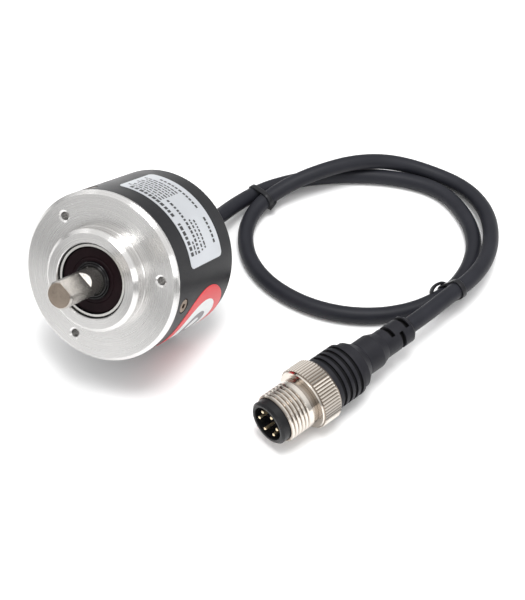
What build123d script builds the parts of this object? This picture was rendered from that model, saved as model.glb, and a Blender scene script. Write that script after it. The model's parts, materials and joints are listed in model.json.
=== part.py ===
from build123d import *
import math
import os

# Incremental rotary encoder with a connector on its own short cable.
# Millimetres. +X right, -Y front (the way the shaft points), +Z up, floor at Z = 0.
# The encoder leans back on the lower edge of its rear face, held there by its cable, so its
# parts are drawn in a frame of their own: HEIGHT along the shaft from the rear face,
# radius from the shaft's axis, and angle from +X towards the upper side.

os.makedirs("parts", exist_ok=True)

# ---- encoder body ----
LEAN = 26.0                # shaft above the horizontal, degrees
BODY_R = 25.0
BACK_ROUND = 0.6           # rounding of the cover's rear edge
COVER_LENGTH = 33.6
COVER_WALL = 1.5
REAR_WALL = 1.6
CABLE_HOLE_R = 3.2
FACE_Z = 35.4              # mounting face
RIM_CHAMFER = 1.0
SPIGOT_R = 15.0
SPIGOT_LENGTH = 5.0
SPIGOT_CHAMFER = 1.1
RELIEF_WIDTH = 0.5         # groove at the foot of the spigot
RELIEF_DEPTH = 0.25
SKIRT_R = BODY_R - COVER_WALL
SKIRT_WALL = 2.0
SKIRT_START = 22.6
PLATE_START = 30.0
HUB_R = 13.4
HUB_START = 17.0
ROW_GAP = 0.05             # play between pieces that are assembled by hand

# ---- mounting holes and screws in the cover ----
BOLT_PCD = 40.0
BOLT_COUNT = 3
BOLT_ANGLE = 16.0
TAP_R = 1.25
TAP_DEPTH = 5.0
TAP_MOUTH_R = 1.85
TAP_MOUTH_ANGLE = 120.0    # countersink round each tapped hole
COVER_SCREW_ANGLE = -4.0
COVER_SCREW_Z = 29.6
COVER_SCREW_R = 2.0
COVER_SCREW_GAP = 0.3      # round each screw head in the cover
COVER_SCREW_LENGTH = 4.0
COVER_SCREW_SUNK = 0.15
HEX_R = 0.85
HEX_DEPTH = 1.6

# ---- shaft ----
SHAFT_R = 4.0
SHAFT_LENGTH = 21.0        # out of the mounting face
SHAFT_START = 9.2
TIP_CHAMFER = 0.5
FLAT_LENGTH = 10.0
FLAT_RUN_OUT = 1.4
FLAT_DEPTH = 1.0
FLAT_ANGLE = 58.6
TIP_Z = FACE_Z + SHAFT_LENGTH

# ---- two deep-groove bearings, 8 x 22 x 7 ----
RACE_R = 11.0
BEARING_WIDTH = 7.0
FRONT_BEARING_Z = FACE_Z + SPIGOT_LENGTH - 1.0 - BEARING_WIDTH
REAR_BEARING_Z = 18.0
BALL_R = 1.98
BALL_COUNT = 7
BALL_PITCH_R = 7.5
BALL_PLAY = 0.05
INNER_RING_R = 6.05
OUTER_RING_BORE_R = 9.0
CAGE_WIDTH = 4.6
CAGE_WALL = 0.9
CAGE_POCKET_R = 2.1
SHOULDER_R = 9.8           # bore between the two bearings
OUTER_LAND_R = 10.6        # flat land on the outer ring's visible face
OUTER_CORNER = 1.2         # depth of the step outside the land
SHIELD_THICKNESS = 0.6
SHIELD_SINK = 0.5
SHIELD_OUTER_R = 9.85
SHIELD_BEVEL = 0.4
SHIELD_GROOVE_R = 6.6
LIP_R = 5.6
LIP_RISE = 0.9
SHAFT_PLAY = 0.08

# ---- optical disc and its hub ----
DISC_R = 17.0
DISC_Z = 10.8
DISC_THICKNESS = 0.6
HUB_DISC_R = 6.6
HUB_NECK_R = 5.6
HUB_FLANGE = 1.6
HUB_END = 16.2
CLAMP_THICKNESS = 0.9
CLAMP_R = 6.0
HUB_SCREW_R = 1.0
SLIT_COUNT = 36
SLIT_WIDTH = 0.5
SLIT_LENGTH = 2.4
SLIT_PITCH_R = 14.8
RETAINER_R = 5.3
RETAINER_GROOVE_R = 3.6
RETAINER_THICKNESS = 0.7

# ---- light source, mask and detector ----
OPTIC_ANGLE = 90.0
HOLDER_RING_R = 13.2
HOLDER_RING_BORE_R = 11.3
HOLDER_START = 12.4
HOLDER_WIDTH = 7.0
HOLDER_REACH = 17.6
LED_R = 1.5
LED_START = 12.0
LED_LENGTH = 4.2
MASK_SIZE = (6.0, 4.4)
MASK_THICKNESS = 0.5
MASK_Z = 9.6
DETECTOR_SIZE = (8.0, 6.0)

# ---- circuit board ----
BOARD_R = 21.6
BOARD_Z = 6.2
BOARD_THICKNESS = 1.2
POST_R = 1.7
POST_PITCH_R = 19.6
POST_ANGLE = 30.0
BOARD_SCREW_R = 0.9
BOARD_HEAD_R = 1.6
BOARD_HEAD = 1.0
CHIP_SIZE = (7.0, 5.0, 1.4)
HEADER_SIZE = (12.0, 5.0, 2.0)
HEADER_SHIFT = 9.0
LEAD_R = 0.5
LEAD_COUNT = 5
LEAD_PITCH_R = 1.5
CABLE_CLAMP_R = 5.4
CABLE_CLAMP_LENGTH = 1.8

# ---- cover seal ----
SEAL_Z = 24.6
SEAL_R = 0.6

# ---- label and round sticker on the cover ----
LABEL_START_ANGLE = 19.0
LABEL_END_ANGLE = 99.0
LABEL_Z = 7.4
LABEL_WIDTH = 19.0
LABEL_CORNER = 1.6
FILM = 0.12
STICKER_ANGLE = -31.0
STICKER_Z = 14.2
STICKER_R = 13.4

# ---- cable ----
CABLE_D = 5.2
CABLE_R = CABLE_D / 2
CABLE_ON_FLOOR = CABLE_R + 0.05
CABLE_IN_TIE = 3.9
CABLE_OVER = 12.6          # axis height where it passes over itself
CABLE_START = 3.2          # inner end, ahead of the rear face
CABLE_STRAIGHT_END = -27.0
CABLE_PLUG_STRAIGHT = 7.6   # straight stretch behind the connector
STRAIN_RELIEF_LENGTH = 13.0
STRAIN_RELIEF_R = 5.4
STRAIN_RELIEF_TIP_R = 3.7
BORE_PLAY = 0.05
TIE_WALL = 0.8
TIE_WIDTH = 2.6
TIE_INNER = 6.4

# ---- connector, measured along its axis from PLUG_FRONT towards the cable ----
PLUG_ANGLE = 69.3          # its axis from +X, pointing back to the cable
PLUG_FRONT = (56.9, -15.3)
KNURL_R = 9.7
PLUG_HEIGHT = KNURL_R + 0.05
INSERT_START = -1.2
INSERT_R = 6.8
INSERT_EDGE = 0.7
INSERT_RECESS_R = 5.3
INSERT_RECESS_END = 2.6
INSERT_COLLAR_R = 7.7
COLLAR_START = 15.4
COLLAR_END = 18.6
THREAD_R = 7.65
THREAD_START = 1.7
THREAD_PITCH = 1.3
THREAD_DEPTH = 0.55
THREAD_COUNT = 5
NUT_BORE_R = 6.95
NUT_RELIEF_R = 7.2
NUT_RELIEF_START = 10.0
KNURL_START = 12.1
KNURL_END = 19.5
KNURL_CHAMFER = 0.7
KNURL_DEPTH = 0.4
KNURL_COUNT = 60
NUT_RECESS_R = 7.95
NUT_RECESS_START = 13.8
PLUG_SEAL_R = 0.5
BOOT_START = 19.8
BOOT_PROFILE = [           # (distance from the front, radius)
    (19.8, 8.4), (30.0, 8.4), (30.4, 7.5), (32.7, 7.5), (35.4, 5.45),
    (41.0, 5.45), (44.0, 4.4), (54.7, 4.4), (55.7, 3.6),
]
BOOT_END = 55.7
BOOT_BORE_DEPTH = 3.6
RIB_POSITIONS = (21.4, 23.6, 25.8, 28.0)
RIB_WIDTH = 1.1
RIB_DEPTH = 0.6
SLOT_POSITIONS = (46.6, 49.6, 52.6)
SLOT_WIDTH = 1.5
SLOT_ANGLE = 32.0          # middle of the first half-ring slot, from PLUG_SIDE towards the top
SLOT_DEPTH = 1.4
PIN_COUNT = 6
PIN_R = 0.5
PIN_PITCH_R = 3.7
PIN_START = -0.9
PIN_END = 8.0
PIN_ANGLE = -9.3
KEY_ANGLE = 140.7
KEY_WIDTH = 1.2
KEY_DEPTH = 0.6

# ---- frames ----
COS_LEAN = math.cos(math.radians(LEAN))
SIN_LEAN = math.sin(math.radians(LEAN))
ROUND_SHIFT = BACK_ROUND * (SIN_LEAN + COS_LEAN - 1)
REAR_Y = (TIP_Z * COS_LEAN + (SHAFT_R - TIP_CHAMFER) * SIN_LEAN - BODY_R * SIN_LEAN + ROUND_SHIFT) / 2
REAR_Z = BODY_R * COS_LEAN - ROUND_SHIFT
REAR = Vector(0, REAR_Y, REAR_Z)
FORWARD = Vector(0, -COS_LEAN, SIN_LEAN)
UPPER = Vector(0, SIN_LEAN, COS_LEAN)
BACK = Plane(origin=REAR, x_dir=(1, 0, 0), z_dir=FORWARD)
SECTION = Plane(origin=REAR, x_dir=UPPER, z_dir=(1, 0, 0))
SHAFT_AXIS = Axis(REAR, FORWARD)

PLUG_DIR = Vector(math.cos(math.radians(PLUG_ANGLE)), math.sin(math.radians(PLUG_ANGLE)), 0)
PLUG_SIDE = Vector(-math.sin(math.radians(PLUG_ANGLE)), math.cos(math.radians(PLUG_ANGLE)), 0)
PLUG_ORIGIN = Vector(*PLUG_FRONT, PLUG_HEIGHT)
PLUG = Plane(origin=PLUG_ORIGIN, x_dir=PLUG_SIDE, z_dir=PLUG_DIR)
PLUG_SECTION = Plane(origin=PLUG_ORIGIN, x_dir=(0, 0, 1), z_dir=PLUG_SIDE)
PLUG_AXIS = Axis(PLUG_ORIGIN, PLUG_DIR)


def turn(plane, axis, points):
    """Revolve a closed (radius, height) outline and add it to the piece being built."""
    with BuildSketch(plane) as outline:
        with BuildLine():
            Polyline(*points, close=True)
        make_face()
    revolve(outline.sketch, axis=axis)


def on_shaft(*points):
    """Revolve an outline about the shaft's axis."""
    turn(SECTION, SHAFT_AXIS, points)


def on_plug(*points):
    """Revolve an outline about the connector's axis."""
    turn(PLUG_SECTION, PLUG_AXIS, points)


def tube(outer, inner, start, end):
    """Outline of a plain ring."""
    return ((inner, start), (outer, start), (outer, end), (inner, end))


def side_plane(angle, height):
    """Plane on the shaft's axis at a height, facing outward at an angle; its x runs forward."""
    outward = BACK.x_dir * math.cos(math.radians(angle)) + BACK.y_dir * math.sin(math.radians(angle))
    return Plane(origin=REAR + FORWARD * height, x_dir=FORWARD, z_dir=outward)


def write(piece, name):
    """Label a finished piece and write its file."""
    piece.part.label = name
    export_step(piece.part, f"parts/{name}.step")


# ---- mounting flange with its spigot, bearing seats and skirt ----
spigot_end = FACE_Z + SPIGOT_LENGTH
with BuildPart() as mounting_flange:
    on_shaft(
        (RACE_R + ROW_GAP, HUB_START), (HUB_R, HUB_START), (HUB_R, PLATE_START),
        (SKIRT_R - SKIRT_WALL, PLATE_START), (SKIRT_R - SKIRT_WALL, SKIRT_START),
        (SKIRT_R - ROW_GAP, SKIRT_START), (SKIRT_R - ROW_GAP, SEAL_Z - SEAL_R),
        (SKIRT_R - 2 * SEAL_R, SEAL_Z - SEAL_R), (SKIRT_R - 2 * SEAL_R, SEAL_Z + SEAL_R),
        (SKIRT_R - ROW_GAP, SEAL_Z + SEAL_R), (SKIRT_R - ROW_GAP, COVER_LENGTH + ROW_GAP),
        (BODY_R, COVER_LENGTH + ROW_GAP), (BODY_R, FACE_Z - RIM_CHAMFER), (BODY_R - RIM_CHAMFER, FACE_Z),
        (SPIGOT_R, FACE_Z), (SPIGOT_R - RELIEF_DEPTH, FACE_Z + RELIEF_WIDTH / 2),
        (SPIGOT_R, FACE_Z + RELIEF_WIDTH),
        (SPIGOT_R, spigot_end - SPIGOT_CHAMFER), (SPIGOT_R - SPIGOT_CHAMFER, spigot_end),
        (RACE_R + 0.3, spigot_end), (RACE_R + ROW_GAP, spigot_end - 0.3),
        (RACE_R + ROW_GAP, FRONT_BEARING_Z), (SHOULDER_R, FRONT_BEARING_Z),
        (SHOULDER_R, REAR_BEARING_Z + BEARING_WIDTH),
        (RACE_R + ROW_GAP, REAR_BEARING_Z + BEARING_WIDTH),
    )
    with Locations(BACK.offset(FACE_Z)):
        with PolarLocations(BOLT_PCD / 2, BOLT_COUNT, start_angle=BOLT_ANGLE):
            CounterSinkHole(TAP_R, TAP_MOUTH_R, TAP_DEPTH, TAP_MOUTH_ANGLE)
    for k in range(BOLT_COUNT):
        screw_plane = side_plane(COVER_SCREW_ANGLE + 360 / BOLT_COUNT * k, COVER_SCREW_Z)
        with BuildSketch(screw_plane.offset(SKIRT_R - SKIRT_WALL - 1)):
            Circle(COVER_SCREW_R + ROW_GAP)
        extrude(amount=SKIRT_WALL + 2, mode=Mode.SUBTRACT)
write(mounting_flange, "mounting_flange")

# ---- black cover, a deep cup over the rear ----
with BuildPart() as housing_cover:
    with BuildSketch(BACK):
        Circle(BODY_R)
    extrude(amount=COVER_LENGTH)
    rear_edge = housing_cover.edges().filter_by(GeomType.CIRCLE).sort_by(SHAFT_AXIS)[0]
    fillet(rear_edge, radius=BACK_ROUND)
    with BuildSketch(BACK.offset(REAR_WALL)):
        Circle(BODY_R - COVER_WALL)
    extrude(amount=COVER_LENGTH, mode=Mode.SUBTRACT)
    with BuildSketch(BACK):
        Circle(CABLE_HOLE_R)
    extrude(amount=REAR_WALL, mode=Mode.SUBTRACT)
    for k in range(BOLT_COUNT):
        screw_plane = side_plane(COVER_SCREW_ANGLE + 360 / BOLT_COUNT * k, COVER_SCREW_Z)
        with BuildSketch(screw_plane.offset(BODY_R - COVER_WALL - 1)):
            Circle(COVER_SCREW_R + COVER_SCREW_GAP)
        extrude(amount=COVER_WALL + 2, mode=Mode.SUBTRACT)
write(housing_cover, "housing_cover")

# ---- three hexagon-socket screws through the cover into the skirt ----
with BuildPart() as cover_screws:
    for k in range(BOLT_COUNT):
        screw_plane = side_plane(COVER_SCREW_ANGLE + 360 / BOLT_COUNT * k, COVER_SCREW_Z)
        top = BODY_R - COVER_SCREW_SUNK
        with BuildSketch(screw_plane.offset(top)):
            Circle(COVER_SCREW_R)
        extrude(amount=-COVER_SCREW_LENGTH)
        with BuildSketch(screw_plane.offset(top)):
            RegularPolygon(HEX_R, 6)
        extrude(amount=-HEX_DEPTH, mode=Mode.SUBTRACT)
write(cover_screws, "cover_screws")

# ---- rubber ring between the skirt and the cover ----
with BuildPart() as cover_seal:
    on_shaft(*tube(SKIRT_R - 0.02, SKIRT_R - 2 * SEAL_R + 0.02, SEAL_Z - SEAL_R + 0.05, SEAL_Z + SEAL_R - 0.05))
write(cover_seal, "cover_seal")

# ---- bearings ----
for name, start in (("front", FRONT_BEARING_Z), ("rear", REAR_BEARING_Z)):
    middle = start + BEARING_WIDTH / 2
    end = start + BEARING_WIDTH
    groove_r = BALL_R + BALL_PLAY

    with BuildPart() as outer_ring:
        on_shaft(
            (OUTER_RING_BORE_R, start), (RACE_R, start), (RACE_R, end - OUTER_CORNER),
            (OUTER_LAND_R, end - OUTER_CORNER), (OUTER_LAND_R, end), (SHIELD_OUTER_R, end),
            (SHIELD_OUTER_R, end - SHIELD_SINK - SHIELD_THICKNESS),
            (OUTER_RING_BORE_R, end - SHIELD_SINK - SHIELD_THICKNESS),
        )
        with BuildSketch(SECTION):
            with Locations((BALL_PITCH_R, middle)):
                Circle(groove_r)
        revolve(axis=SHAFT_AXIS, mode=Mode.SUBTRACT)
    write(outer_ring, f"{name}_bearing_outer_ring")

    with BuildPart() as inner_ring:
        on_shaft(*tube(INNER_RING_R, SHAFT_R + 0.01, start, end - SHIELD_SINK - SHIELD_THICKNESS))
        with BuildSketch(SECTION):
            with Locations((BALL_PITCH_R, middle)):
                Circle(groove_r)
        revolve(axis=SHAFT_AXIS, mode=Mode.SUBTRACT)
    write(inner_ring, f"{name}_bearing_inner_ring")

    with BuildPart() as balls:
        with Locations(BACK.offset(middle)):
            with PolarLocations(BALL_PITCH_R, BALL_COUNT):
                Sphere(BALL_R)
    write(balls, f"{name}_bearing_balls")

    with BuildPart() as cage:
        cage_tube = tube(BALL_PITCH_R + CAGE_WALL / 2, BALL_PITCH_R - CAGE_WALL / 2,
                         middle - CAGE_WIDTH / 2, middle + CAGE_WIDTH / 2)
        on_shaft(*cage_tube)
        for k in range(BALL_COUNT):
            with BuildSketch(side_plane(360 / BALL_COUNT * k, middle)):
                Circle(CAGE_POCKET_R)
            extrude(amount=BALL_PITCH_R + CAGE_WALL, mode=Mode.SUBTRACT)
    write(cage, f"{name}_bearing_cage")

shield_top = FRONT_BEARING_Z + BEARING_WIDTH - SHIELD_SINK
with BuildPart() as bearing_shield:
    on_shaft(
        (LIP_R, shield_top - SHIELD_THICKNESS), (SHIELD_OUTER_R - 0.03, shield_top - SHIELD_THICKNESS),
        (SHIELD_OUTER_R - 0.03, shield_top - SHIELD_BEVEL), (SHIELD_OUTER_R - SHIELD_BEVEL, shield_top),
        (SHIELD_GROOVE_R + 0.3, shield_top),
        (SHIELD_GROOVE_R, shield_top - 0.2), (SHIELD_GROOVE_R - 0.3, shield_top), (LIP_R, shield_top),
    )
write(bearing_shield, "front_bearing_shield")

with BuildPart() as shaft_seal:
    on_shaft(
        (SHAFT_R + SHAFT_PLAY, shield_top - SHIELD_THICKNESS), (LIP_R - 0.03, shield_top - SHIELD_THICKNESS),
        (LIP_R - 0.03, shield_top + 0.2), (LIP_R - 0.5, shield_top + LIP_RISE),
        (SHAFT_R + 0.5, shield_top + LIP_RISE), (SHAFT_R + SHAFT_PLAY, shield_top + 0.3),
    )
write(shaft_seal, "shaft_seal")

with BuildPart() as bearing_spacer:
    inner_end = REAR_BEARING_Z + BEARING_WIDTH - SHIELD_SINK - SHIELD_THICKNESS
    on_shaft(*tube(INNER_RING_R - 0.6, SHAFT_R + 0.01, inner_end, FRONT_BEARING_Z))
write(bearing_spacer, "bearing_spacer")

# ---- shaft with its flat ----
with BuildPart() as shaft:
    retainer_start = REAR_BEARING_Z - RETAINER_THICKNESS - 0.05
    on_shaft(
        (0, SHAFT_START), (SHAFT_R - 0.3, SHAFT_START), (SHAFT_R, SHAFT_START + 0.3),
        (SHAFT_R, retainer_start), (RETAINER_GROOVE_R, retainer_start),
        (RETAINER_GROOVE_R, REAR_BEARING_Z), (SHAFT_R, REAR_BEARING_Z),
        (SHAFT_R, TIP_Z - TIP_CHAMFER), (SHAFT_R - TIP_CHAMFER, TIP_Z), (0, TIP_Z),
    )
    flat_plane = side_plane(FLAT_ANGLE, TIP_Z)
    flat_cut = Plane(origin=flat_plane.origin, x_dir=flat_plane.x_dir, z_dir=flat_plane.y_dir)
    with BuildSketch(flat_cut):
        with BuildLine():
            Polyline(
                (1, -(SHAFT_R - FLAT_DEPTH)), (1, -(SHAFT_R + 1)),
                (-FLAT_LENGTH - FLAT_RUN_OUT - 1, -(SHAFT_R + 1)),
                (-FLAT_LENGTH - FLAT_RUN_OUT, -SHAFT_R),
                (-FLAT_LENGTH, -(SHAFT_R - FLAT_DEPTH)),
                close=True,
            )
        make_face()
    extrude(amount=SHAFT_R + 1, both=True, mode=Mode.SUBTRACT)
write(shaft, "shaft")

with BuildPart() as retaining_ring:
    with BuildSketch(BACK.offset(REAR_BEARING_Z - RETAINER_THICKNESS - 0.02)):
        Circle(RETAINER_R)
        Circle(RETAINER_GROOVE_R + 0.02, mode=Mode.SUBTRACT)
        with Locations((RETAINER_R, 0)):
            Rectangle(RETAINER_R, 2.0, mode=Mode.SUBTRACT)
    extrude(amount=RETAINER_THICKNESS)
write(retaining_ring, "retaining_ring")

# ---- disc hub, code disc, clamp ring and hub screw ----
disc_front = DISC_Z + DISC_THICKNESS
hub_screw_z = (disc_front + HUB_FLANGE + HUB_END) / 2
with BuildPart() as disc_hub:
    on_shaft(
        (SHAFT_R + 0.01, DISC_Z - 0.4), (HUB_NECK_R - 0.6, DISC_Z - 0.4), (HUB_NECK_R - 0.6, disc_front),
        (HUB_DISC_R, disc_front), (HUB_DISC_R, disc_front + HUB_FLANGE), (HUB_NECK_R, disc_front + HUB_FLANGE),
        (HUB_NECK_R, HUB_END), (SHAFT_R + 0.01, HUB_END),
    )
    with BuildSketch(side_plane(0, hub_screw_z)):
        Circle(HUB_SCREW_R + 0.02)
    extrude(amount=HUB_DISC_R, mode=Mode.SUBTRACT)
write(disc_hub, "disc_hub")

with BuildPart() as hub_screw:
    with BuildSketch(side_plane(0, hub_screw_z).offset(SHAFT_R + 0.05)):
        Circle(HUB_SCREW_R)
    extrude(amount=HUB_NECK_R - SHAFT_R - 0.1)
write(hub_screw, "hub_screw")

with BuildPart() as code_disc:
    with BuildSketch(BACK.offset(DISC_Z)):
        Circle(DISC_R)
        Circle(HUB_NECK_R - 0.58, mode=Mode.SUBTRACT)
        with PolarLocations(SLIT_PITCH_R, SLIT_COUNT):
            Rectangle(SLIT_LENGTH, SLIT_WIDTH, mode=Mode.SUBTRACT)
    extrude(amount=DISC_THICKNESS)
write(code_disc, "code_disc")

with BuildPart() as disc_clamp:
    on_shaft(*tube(CLAMP_R, HUB_NECK_R - 0.58, DISC_Z - CLAMP_THICKNESS, DISC_Z))
write(disc_clamp, "disc_clamp")

# ---- light source in its holder, mask and detector ----
optic_x = SLIT_PITCH_R * math.cos(math.radians(OPTIC_ANGLE))
optic_y = SLIT_PITCH_R * math.sin(math.radians(OPTIC_ANGLE))
with BuildPart() as led_holder:
    with BuildSketch(BACK.offset(HOLDER_START)):
        Circle(HOLDER_RING_R)
        with Locations((optic_x, (HOLDER_RING_R + HOLDER_REACH) / 2 - 1)):
            Rectangle(HOLDER_WIDTH, HOLDER_REACH - HOLDER_RING_R + 2)
        Circle(HOLDER_RING_BORE_R, mode=Mode.SUBTRACT)
        with Locations((optic_x, optic_y)):
            Circle(LED_R + 0.03, mode=Mode.SUBTRACT)
    extrude(amount=HUB_START - HOLDER_START)
write(led_holder, "led_holder")

with BuildPart() as led:
    with BuildSketch(BACK.offset(LED_START)):
        with Locations((optic_x, optic_y)):
            Circle(LED_R)
    extrude(amount=LED_LENGTH)
write(led, "led")

with BuildPart() as detector:
    with BuildSketch(BACK.offset(BOARD_Z + BOARD_THICKNESS)):
        with Locations((optic_x, optic_y)):
            Rectangle(*DETECTOR_SIZE)
    extrude(amount=MASK_Z - BOARD_Z - BOARD_THICKNESS)
write(detector, "photo_detector")

with BuildPart() as mask:
    with BuildSketch(BACK.offset(MASK_Z)):
        with Locations((optic_x, optic_y)):
            Rectangle(*MASK_SIZE)
            with GridLocations(1.2, 0, 4, 1):
                Rectangle(0.4, 2.4, mode=Mode.SUBTRACT)
    extrude(amount=MASK_THICKNESS)
write(mask, "reading_mask")

# ---- circuit board, its posts, screws, chips and cable header ----
with BuildPart() as circuit_board:
    with BuildSketch(BACK.offset(BOARD_Z)):
        Circle(BOARD_R)
        with PolarLocations(POST_PITCH_R, BOLT_COUNT, start_angle=POST_ANGLE):
            Circle(BOARD_SCREW_R + ROW_GAP, mode=Mode.SUBTRACT)
    extrude(amount=BOARD_THICKNESS)
write(circuit_board, "circuit_board")

board_front = BOARD_Z + BOARD_THICKNESS
with BuildPart() as board_posts:
    with BuildSketch(BACK.offset(board_front)):
        with PolarLocations(POST_PITCH_R, BOLT_COUNT, start_angle=POST_ANGLE):
            RegularPolygon(POST_R, 6)
    extrude(amount=PLATE_START - board_front)
    with BuildSketch(BACK.offset(board_front)):
        with PolarLocations(POST_PITCH_R, BOLT_COUNT, start_angle=POST_ANGLE):
            Circle(BOARD_SCREW_R + ROW_GAP)
    extrude(amount=5, mode=Mode.SUBTRACT)
write(board_posts, "board_posts")

with BuildPart() as board_screws:
    with BuildSketch(BACK.offset(BOARD_Z)):
        with PolarLocations(POST_PITCH_R, BOLT_COUNT, start_angle=POST_ANGLE):
            Circle(BOARD_HEAD_R)
    extrude(amount=-BOARD_HEAD)
    with BuildSketch(BACK.offset(BOARD_Z)):
        with PolarLocations(POST_PITCH_R, BOLT_COUNT, start_angle=POST_ANGLE):
            Circle(BOARD_SCREW_R)
    extrude(amount=BOARD_THICKNESS + 4)
write(board_screws, "board_screws")

with BuildPart() as board_chips:
    with BuildSketch(BACK.offset(board_front)):
        with Locations((-9, -6), (9, -6), (0, -13)):
            Rectangle(CHIP_SIZE[0], CHIP_SIZE[1])
    extrude(amount=CHIP_SIZE[2])
write(board_chips, "board_chips")

with BuildPart() as cable_header:
    with BuildSketch(BACK.offset(BOARD_Z)):
        with Locations((0, -HEADER_SHIFT)):
            Rectangle(HEADER_SIZE[0], HEADER_SIZE[1])
    extrude(amount=-HEADER_SIZE[2])
write(cable_header, "cable_header")

with BuildPart() as lead_wires:
    with BuildSketch(BACK.offset(CABLE_START)):
        with PolarLocations(LEAD_PITCH_R, LEAD_COUNT):
            Circle(LEAD_R)
    extrude(amount=BOARD_Z - CABLE_START)
write(lead_wires, "lead_wires")

# ---- cable entry: inner clamp and outer strain relief ----
with BuildPart() as cable_clamp:
    on_shaft(*tube(CABLE_CLAMP_R, CABLE_R + BORE_PLAY, REAR_WALL, REAR_WALL + 1.4))
write(cable_clamp, "cable_clamp")

with BuildPart() as strain_relief:
    bore = CABLE_R + BORE_PLAY
    on_shaft(
        (bore, REAR_WALL), (CABLE_HOLE_R - 0.03, REAR_WALL), (CABLE_HOLE_R - 0.03, 0), (STRAIN_RELIEF_R, 0),
        (STRAIN_RELIEF_R, -2.4), (STRAIN_RELIEF_R - 0.5, -3.0),
        (STRAIN_RELIEF_TIP_R, -STRAIN_RELIEF_LENGTH + 0.4), (STRAIN_RELIEF_TIP_R - 0.4, -STRAIN_RELIEF_LENGTH),
        (bore, -STRAIN_RELIEF_LENGTH),
    )
write(strain_relief, "strain_relief")

# ---- label and round sticker, thin films on the cover ----
with BuildPart() as rating_label:
    with BuildSketch(BACK.offset(LABEL_Z)):
        with BuildLine():
            outer_arc = CenterArc((0, 0), BODY_R + FILM, LABEL_START_ANGLE, LABEL_END_ANGLE - LABEL_START_ANGLE)
            inner_arc = CenterArc((0, 0), BODY_R, LABEL_START_ANGLE, LABEL_END_ANGLE - LABEL_START_ANGLE)
            Line(outer_arc @ 0, inner_arc @ 0)
            Line(outer_arc @ 1, inner_arc @ 1)
        make_face()
    extrude(amount=LABEL_WIDTH)
    corners = [e for e in rating_label.edges().filter_by(GeomType.LINE) if abs(e.length - FILM) < 0.01]
    fillet(corners, radius=LABEL_CORNER)
write(rating_label, "rating_label")

with BuildPart() as round_sticker:
    with BuildSketch(side_plane(STICKER_ANGLE, STICKER_Z)):
        Circle(STICKER_R)
    extrude(amount=BODY_R + 1)
    with BuildSketch(BACK):
        Circle(BODY_R + FILM)
        Circle(BODY_R, mode=Mode.SUBTRACT)
    extrude(amount=COVER_LENGTH, mode=Mode.INTERSECT)
write(round_sticker, "round_sticker")

# ---- cable: out of the rear face, down to the floor, one and a half turns, into the connector ----
cable_route = [
    REAR + FORWARD * CABLE_START,
    REAR + FORWARD * CABLE_STRAIGHT_END,
    Vector(1.6, 76.0, CABLE_IN_TIE),
    Vector(11.2, 92.3, 3.4),
    Vector(25.5, 101.7, CABLE_ON_FLOOR),
    Vector(42.0, 107.4, CABLE_ON_FLOOR),
    Vector(58.0, 108.4, CABLE_ON_FLOOR),
    Vector(71.5, 101.5, CABLE_ON_FLOOR),
    Vector(79.4, 89.5, 2.8),
    Vector(81.0, 75.0, 3.4),
    Vector(79.6, 61.8, CABLE_IN_TIE),
    Vector(73.0, 50.2, 3.2),
    Vector(61.5, 41.0, CABLE_ON_FLOOR),
    Vector(46.5, 36.9, CABLE_ON_FLOOR),
    Vector(31.0, 38.7, CABLE_ON_FLOOR),
    Vector(18.0, 45.9, CABLE_ON_FLOOR),
    Vector(9.3, 57.5, CABLE_ON_FLOOR),
    Vector(7.2, 70.0, CABLE_IN_TIE),
    Vector(11.4, 81.6, 5.4),
    Vector(19.0, 91.5, CABLE_OVER),
    Vector(29.0, 104.0, CABLE_OVER),
    Vector(39.5, 113.4, 7.0),
    Vector(53.5, 117.6, CABLE_ON_FLOOR),
    Vector(67.0, 115.2, CABLE_ON_FLOOR),
    Vector(78.0, 107.0, CABLE_ON_FLOOR),
    Vector(85.0, 94.8, CABLE_ON_FLOOR),
    Vector(87.0, 80.0, 3.2),
    Vector(86.7, 66.5, CABLE_IN_TIE),
    Vector(84.2, 56.0, 4.8),
    PLUG_ORIGIN + PLUG_DIR * (BOOT_END + CABLE_PLUG_STRAIGHT),
    PLUG_ORIGIN + PLUG_DIR * (BOOT_END - BOOT_BORE_DEPTH + BORE_PLAY),
]
runs = [b - a for a, b in zip(cable_route, cable_route[1:])]
radii = []
for before, after in zip(runs, runs[1:]):
    shorter = min(before.length, after.length)
    radii.append(0.45 * shorter / math.tan(math.radians(before.get_angle(after)) / 2))

with BuildPart() as cable:
    with BuildLine() as cable_path:
        FilletPolyline(*cable_route, radius=radii)
    with BuildSketch(Plane(origin=cable_route[0], z_dir=runs[0])):
        Circle(CABLE_R)
    sweep(path=cable_path.wires()[0])
write(cable, "cable")

path_length = cable_path.wires()[0].length
print("cable runs", [round(run.length, 1) for run in runs])
print("cable radii", [round(radius, 1) for radius in radii])
print("cable length", round(path_length, 1), "volume over section times length",
      round(cable.part.volume / (math.pi * CABLE_R ** 2 * path_length), 4))


def tie(name, first, second, along):
    """A flat band round two strands side by side; `along` is the way the strands run."""
    along = along.normalized()
    across = along.cross(Vector(0, 0, 1)).normalized()
    centre = (first + second) * 0.5
    spread = abs((second - first).dot(across))
    with BuildPart() as band:
        with BuildSketch(Plane(origin=centre, x_dir=across, z_dir=along)):
            SlotCenterToCenter(spread, TIE_INNER + 2 * TIE_WALL)
            SlotCenterToCenter(spread, TIE_INNER, mode=Mode.SUBTRACT)
        extrude(amount=TIE_WIDTH / 2, both=True)
    write(band, name)


TIE_HEIGHT = 4.1
tie("cable_tie_rear", Vector(2.8, 76.4, TIE_HEIGHT), Vector(8.9, 73.9, TIE_HEIGHT), Vector(0.36, 0.93, 0))
tie("cable_tie_side", Vector(79.5, 65.2, TIE_HEIGHT), Vector(86.4, 64.4, TIE_HEIGHT), Vector(-0.14, -0.99, 0))

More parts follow.
